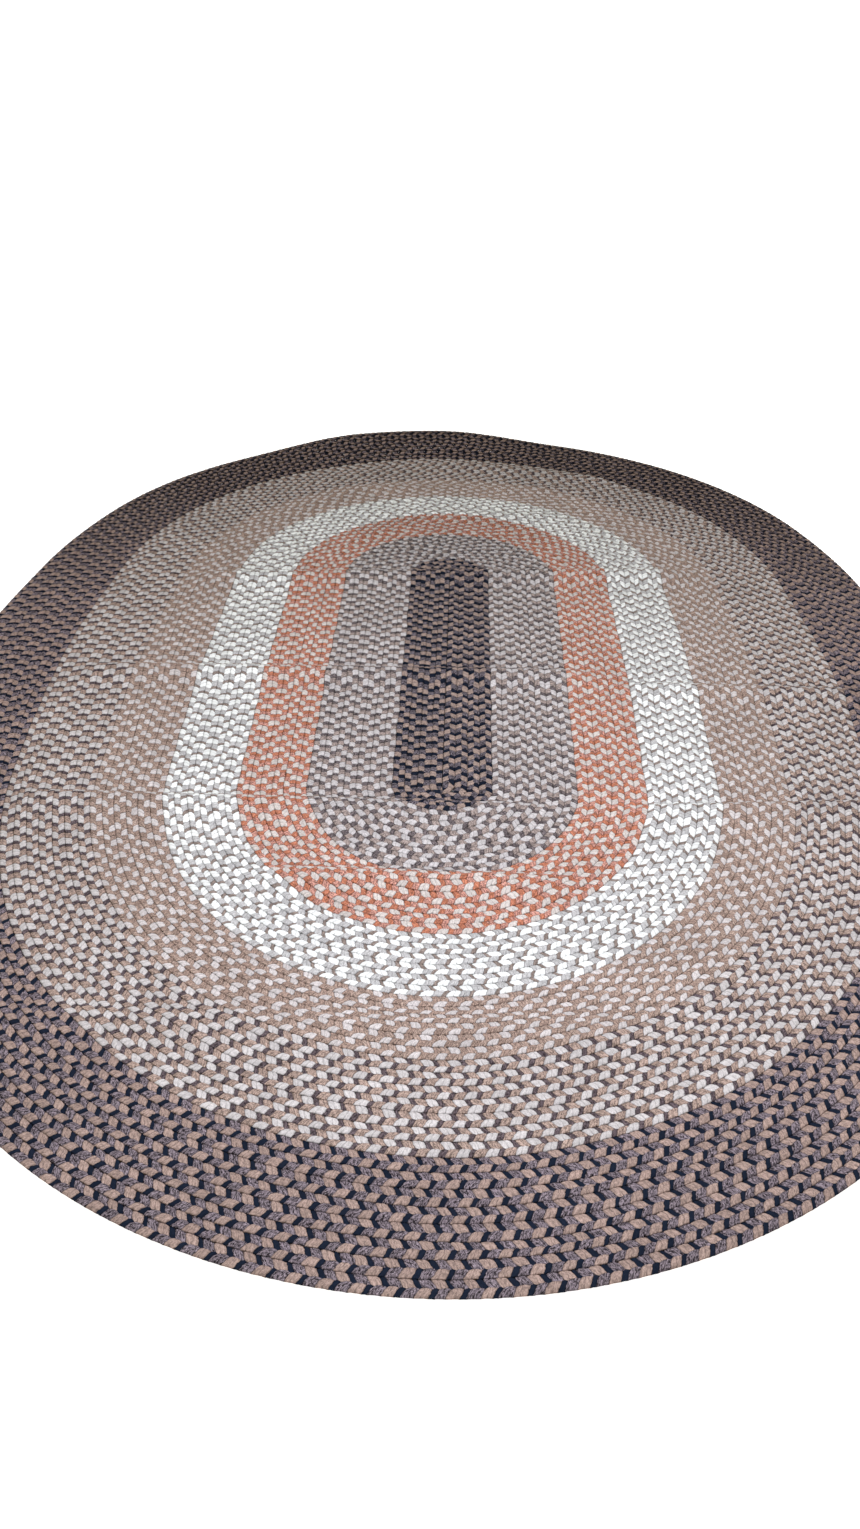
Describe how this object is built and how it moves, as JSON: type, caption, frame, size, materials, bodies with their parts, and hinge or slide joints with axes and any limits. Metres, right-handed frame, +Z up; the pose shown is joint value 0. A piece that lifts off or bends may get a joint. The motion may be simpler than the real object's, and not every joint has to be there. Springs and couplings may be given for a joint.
{
  "type": "braided rug",
  "caption": "Large oval rug of flat three-strand braids laced edge to edge in concentric rounds, in bands of colour, with soft storage folds across it.",
  "frame": {"origin": "on the floor, under the middle of the rug's bounding box", "axes": "+Z up from the floor, +Y along the rug's length and away from the picture's viewer, +X across its width to the viewer's right"},
  "size_m": [2.4832, 3.2936, 0.0346],
  "materials": {
    "centre_strip": "matt wool-like yarn",
    "taupe_band": "matt wool-like yarn",
    "rust_band": "matt wool-like yarn",
    "white_band": "matt wool-like yarn",
    "tan_band": "matt wool-like yarn",
    "pale_band": "matt wool-like yarn",
    "dark_border": "matt wool-like yarn"
  },
  "bodies": {
    "root": {"centre_strip": "centre_strip", "taupe_band": "taupe_band", "rust_band": "rust_band", "white_band": "white_band", "tan_band": "tan_band", "pale_band": "pale_band", "dark_border": "dark_border"}
  },
  "joints": []
}
